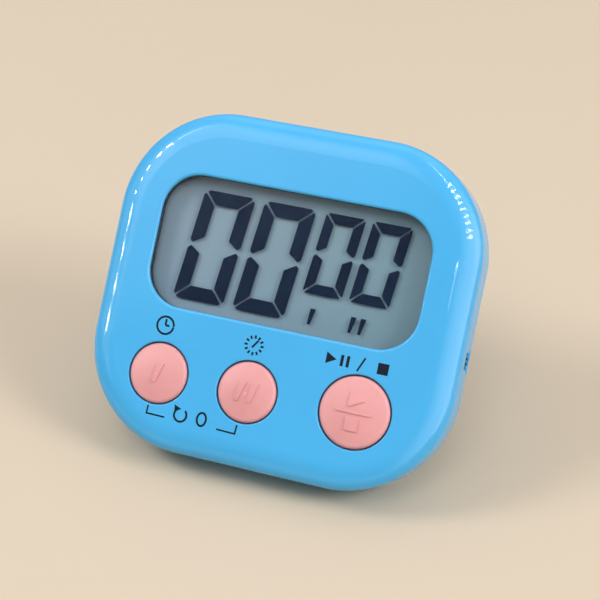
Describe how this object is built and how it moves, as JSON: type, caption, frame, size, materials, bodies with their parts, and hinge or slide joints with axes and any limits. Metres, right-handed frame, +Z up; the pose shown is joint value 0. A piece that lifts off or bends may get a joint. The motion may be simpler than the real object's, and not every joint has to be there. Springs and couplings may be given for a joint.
{
  "type": "digital kitchen timer",
  "caption": "Digital kitchen timer: rounded-rectangle case with a display window, round push buttons, side slide switch, fold-out stand and battery door.",
  "frame": {"origin": "on the surface that the timer stands on, below the centre of its bounding box, with the stand open", "axes": "+X to the right along the face's width, -Y towards the user, +Z up; the face leans back 38.5 degrees from upright"},
  "size_m": [0.075, 0.0514, 0.0599],
  "materials": {
    "shell": "sky blue glossy ABS",
    "button": "satin pink ABS",
    "black_plastic": "black moulded plastic",
    "polarizer": "clear polarizing film with a satin face",
    "display_glass": "clear soda glass",
    "liquid_crystal": "dark blue-black liquid crystal marks",
    "seal": "epoxy seal",
    "reflector": "grey-green reflective film",
    "foam": "black foam",
    "zebra": "pink silicone with conducting layers",
    "board": "green solder mask",
    "resin": "black epoxy",
    "tin": "tinned steel",
    "nickel": "nickel-plated steel",
    "chips": "chip resistors and capacitors",
    "copper": "enamelled copper winding",
    "steel": "zinc-plated steel",
    "silicone": "grey silicone rubber",
    "carbon": "conducting carbon rubber",
    "phenolic": "brown phenolic board",
    "knob": "black nylon",
    "magnet": "dark ferrite",
    "brass": "brass sheet",
    "ceramic": "silvered piezo ceramic",
    "wire": "thin PVC-insulated wire",
    "cell_jacket": "printed film jacket without lettering"
  },
  "bodies": {
    "case": {"front_shell": "shell", "window_frame": "black_plastic", "front_polarizer": "polarizer", "front_glass": "display_glass", "lcd_segments": "liquid_crystal", "glass_seal": "seal", "rear_glass": "display_glass", "reflector_film": "reflector", "foam_pads": "foam", "zebra_strip": "zebra", "circuit_board": "board", "controller_blob": "resin", "watch_crystal": "tin", "chip_parts": "chips", "driver_transistor": "resin", "boost_coil": "copper", "board_screws": "steel", "key_mat": "silicone", "switch_housing": "tin", "switch_base": "phenolic", "switch_terminals": "tin", "rear_cover": "shell", "case_screws": "steel", "magnets": "magnet", "buzzer_disc": "brass", "buzzer_ceramic": "ceramic", "buzzer_wires": "wire", "battery_can": "cell_jacket", "battery_cap": "tin", "flat_contact": "nickel", "spring_plate": "nickel", "contact_spring": "nickel", "battery_wires": "wire"},
    "minute_key": {"minute_button": "button", "minute_pill": "carbon"},
    "second_key": {"second_button": "button", "second_pill": "carbon"},
    "start_key": {"start_button": "button", "start_pill": "carbon"},
    "slider": {"switch_knob": "knob"},
    "leg": {"stand": "shell"},
    "door": {"battery_door": "shell"}
  },
  "joints": [
    {"name": "minute_press", "type": "slide", "parent": "case", "child": "minute_key", "axis": [0, 0.7826, -0.6225], "range_m": [0, 0.0008], "stiffness_N_per_m": 900},
    {"name": "second_press", "type": "slide", "parent": "case", "child": "second_key", "axis": [0, 0.7826, -0.6225], "range_m": [0, 0.0008], "stiffness_N_per_m": 900},
    {"name": "start_press", "type": "slide", "parent": "case", "child": "start_key", "axis": [0, 0.7826, -0.6225], "range_m": [0, 0.0008], "stiffness_N_per_m": 900},
    {"name": "power_slide", "type": "slide", "parent": "case", "child": "slider", "axis": [0, 0.6225, 0.7826], "range_m": [-0.0008, 0.0008]},
    {"name": "stand_fold", "type": "hinge", "parent": "case", "child": "leg", "pos_m": [0, 0.00754, 0.02737], "axis": [-1, 0, 0], "range_deg": [0, 60]},
    {"name": "door_swing", "type": "hinge", "parent": "case", "child": "door", "pos_m": [0, 0.01122, 0.03134], "axis": [-1, 0, 0], "range_deg": [0, 95]}
  ]
}
